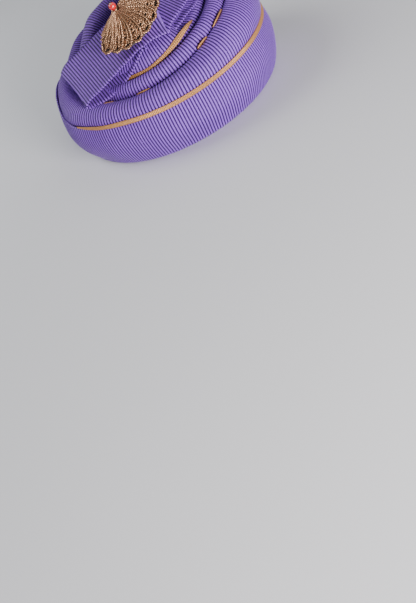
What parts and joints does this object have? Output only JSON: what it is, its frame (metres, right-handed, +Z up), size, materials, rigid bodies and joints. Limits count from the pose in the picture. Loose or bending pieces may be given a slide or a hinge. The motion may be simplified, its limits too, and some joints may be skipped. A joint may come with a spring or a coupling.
{
  "type": "fascinator headpiece",
  "caption": "Small domed cocktail hat in coiled ribbed ribbon with woven gold edges, a ribbon bow, a bullion cord fan with a red bead, and a comb and prong clip inside.",
  "frame": {"origin": "centre of the plane that the rim rests on, under the middle of the hat", "axes": "+Z up the hat's axis, +X towards the front edge where the comb is, -Y the side that shows the bow and the fan"},
  "size_m": [0.141, 0.141, 0.0781],
  "materials": {
    "ribbon_purple": "ribbed ottoman ribbon, soft sheen",
    "ribbon_gold": "woven metallic gold edge",
    "buckram": "stiffened, open weave",
    "wadding": "soft, matt",
    "lining_satin": "smooth satin",
    "petersham": "fine ribbed",
    "bullion_gold": "antique twisted wire cord",
    "felt": "pressed felt",
    "red_glass": "polished bead",
    "thread": "matt thread",
    "steel": "plated spring steel",
    "covered_wire": "cotton-covered steel wire"
  },
  "bodies": {
    "hat": {"base_cap": "buckram", "edge_wire": "covered_wire", "crown_lining": "lining_satin", "head_ribbon": "petersham", "band_wadding": "wadding", "crown_padding": "wadding", "side_band": "ribbon_purple", "side_band_gold_edge": "ribbon_gold", "middle_coil": "ribbon_purple", "crease_gold_edge": "ribbon_gold", "inner_coil": "ribbon_purple", "crown_ribbon_gold_edge": "ribbon_gold", "crown_ribbon": "ribbon_purple", "crown_roll": "ribbon_purple", "crown_top": "ribbon_purple", "bow_loop_left": "ribbon_purple", "bow_loop_right": "ribbon_purple", "bow_centre": "ribbon_purple", "fan_felt": "felt", "fan_fill_cords": "bullion_gold", "fan_outline_cords": "bullion_gold", "red_bead": "red_glass", "bead_collar": "bullion_gold", "bead_thread": "thread", "comb_spine": "steel", "comb_teeth": "steel", "comb_stitches": "thread", "clip_fixed_jaw": "steel", "clip_pin": "steel", "clip_spring": "steel", "clip_felt": "felt", "clip_stitches": "thread"},
    "clip_jaw": {"clip_moving_jaw": "steel"}
  },
  "joints": [
    {"name": "clip_hinge", "type": "hinge", "parent": "hat", "child": "clip_jaw", "pos_m": [-0.05225, -0.007, 0.0088], "axis": [0, 0, -1], "range_deg": [0, 25], "stiffness_Nm_per_rad": 0.05, "springref_deg": -20.05}
  ]
}
